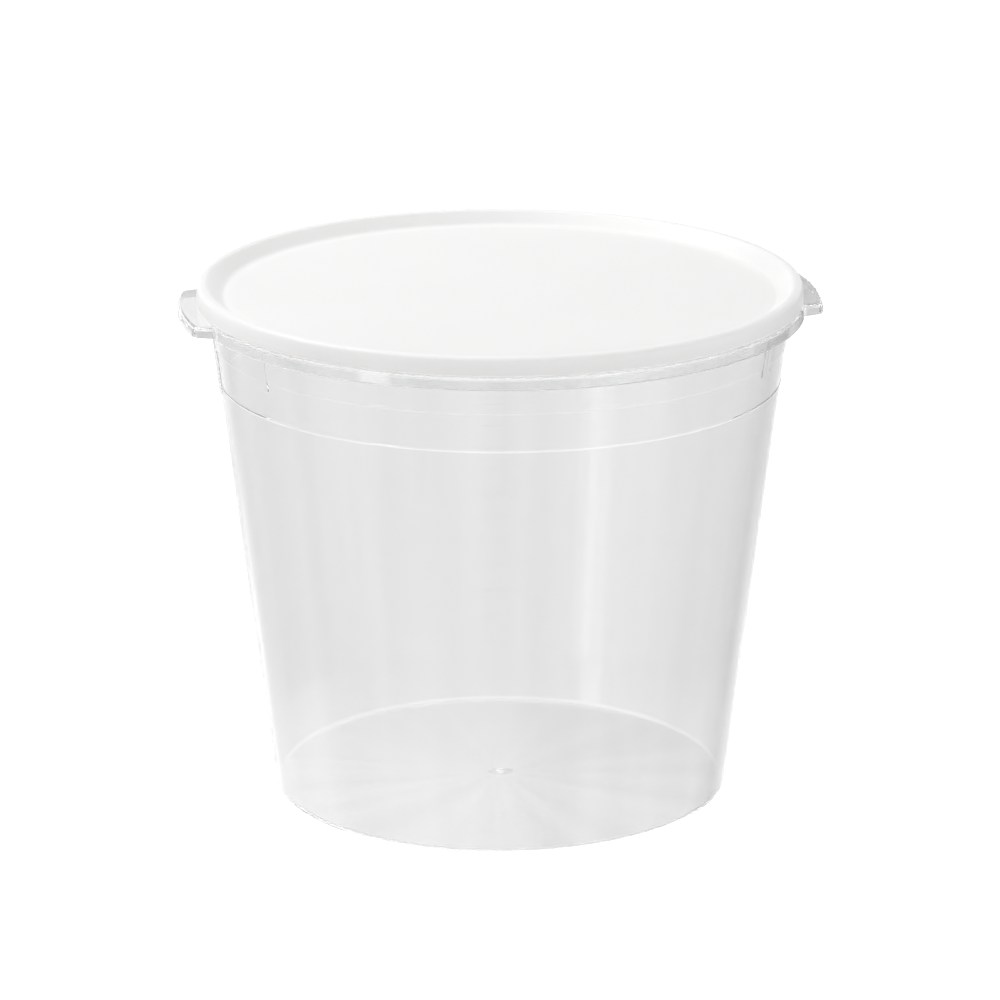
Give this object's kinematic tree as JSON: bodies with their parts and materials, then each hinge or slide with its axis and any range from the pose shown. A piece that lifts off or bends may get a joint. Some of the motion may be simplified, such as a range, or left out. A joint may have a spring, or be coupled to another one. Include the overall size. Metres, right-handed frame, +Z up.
{
  "type": "food storage container",
  "caption": "Round tapered food tub in clear plastic with a hanging rim flange, hollow side grips and a press-fit lid with a recessed panel.",
  "frame": {"origin": "centre of the base, on the plane the tub stands on", "axes": "+Z up, +X through the middle of one grip, +Y across the grips"},
  "size_m": [0.299, 0.2826, 0.2443],
  "materials": {
    "tub": "clear, slightly milky polypropylene with a smooth moulded face",
    "lid": "opaque white polyethylene, fine satin panel and a smooth bead"
  },
  "bodies": {
    "tub": {"tub": "tub"},
    "lid": {"lid": "lid"}
  },
  "joints": [
    {"name": "lid_lift", "type": "slide", "parent": "tub", "child": "lid", "axis": [0, 0, 1], "range_m": [0, 0.16]}
  ]
}
